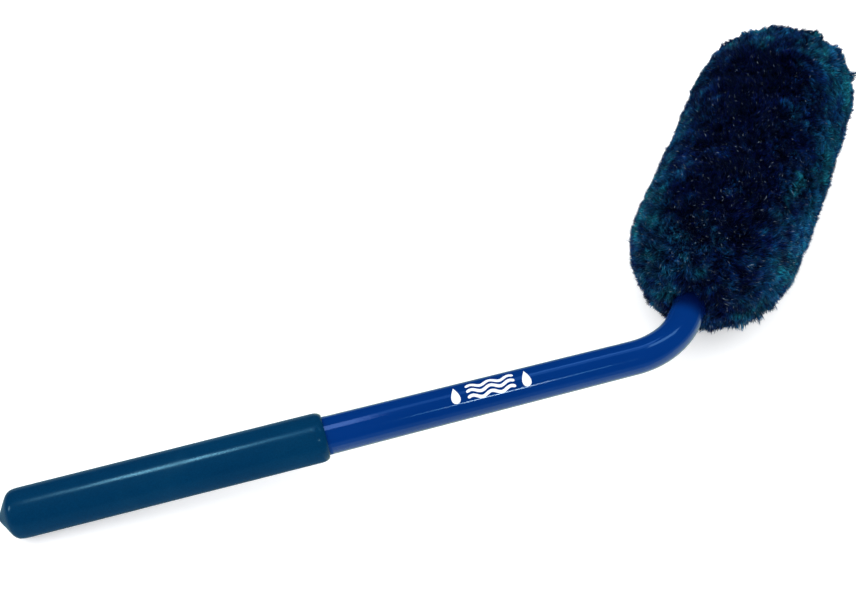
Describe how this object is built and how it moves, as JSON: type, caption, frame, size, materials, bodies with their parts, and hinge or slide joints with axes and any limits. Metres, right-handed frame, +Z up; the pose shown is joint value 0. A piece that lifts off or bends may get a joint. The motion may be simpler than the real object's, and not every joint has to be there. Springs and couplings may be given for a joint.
{
  "type": "wheel brush",
  "caption": "Hand brush for car wheels: a thick soft pile head on an angled tubular handle with a moulded vinyl grip, lying on its side.",
  "frame": {"origin": "centre of the base of the bounding box, on the bench that the brush lies on", "axes": "+X from the grip towards the bend seen from above, +Y to the side that the head turns to, +Z up"},
  "size_m": [0.467, 0.2034, 0.0828],
  "materials": {
    "handle_gloss": "royal blue, high gloss",
    "grip_vinyl": "teal blue dip-moulded vinyl, satin",
    "black_plastic": "black moulded nylon",
    "zinc_steel": "zinc plated",
    "core_foam": "closed-cell foam, dark grey",
    "knit_backing": "knitted backing cloth, navy",
    "pile": "dense short fibre pile, navy and teal"
  },
  "bodies": {
    "root": {"handle_tube": "handle_gloss", "grip_sleeve": "grip_vinyl", "tail_plug": "black_plastic", "nose_plug": "black_plastic", "stop_collar": "black_plastic", "neck_tie": "black_plastic", "collar_pin": "zinc_steel", "front_washer": "zinc_steel", "nose_screw": "zinc_steel", "core_body": "core_foam", "core_nose": "core_foam", "backing_sleeve": "knit_backing", "backing_tip": "knit_backing", "seam_allowance": "knit_backing", "tip_seam": "knit_backing", "pile_sleeve": "pile", "pile_tip": "pile"}
  },
  "joints": []
}
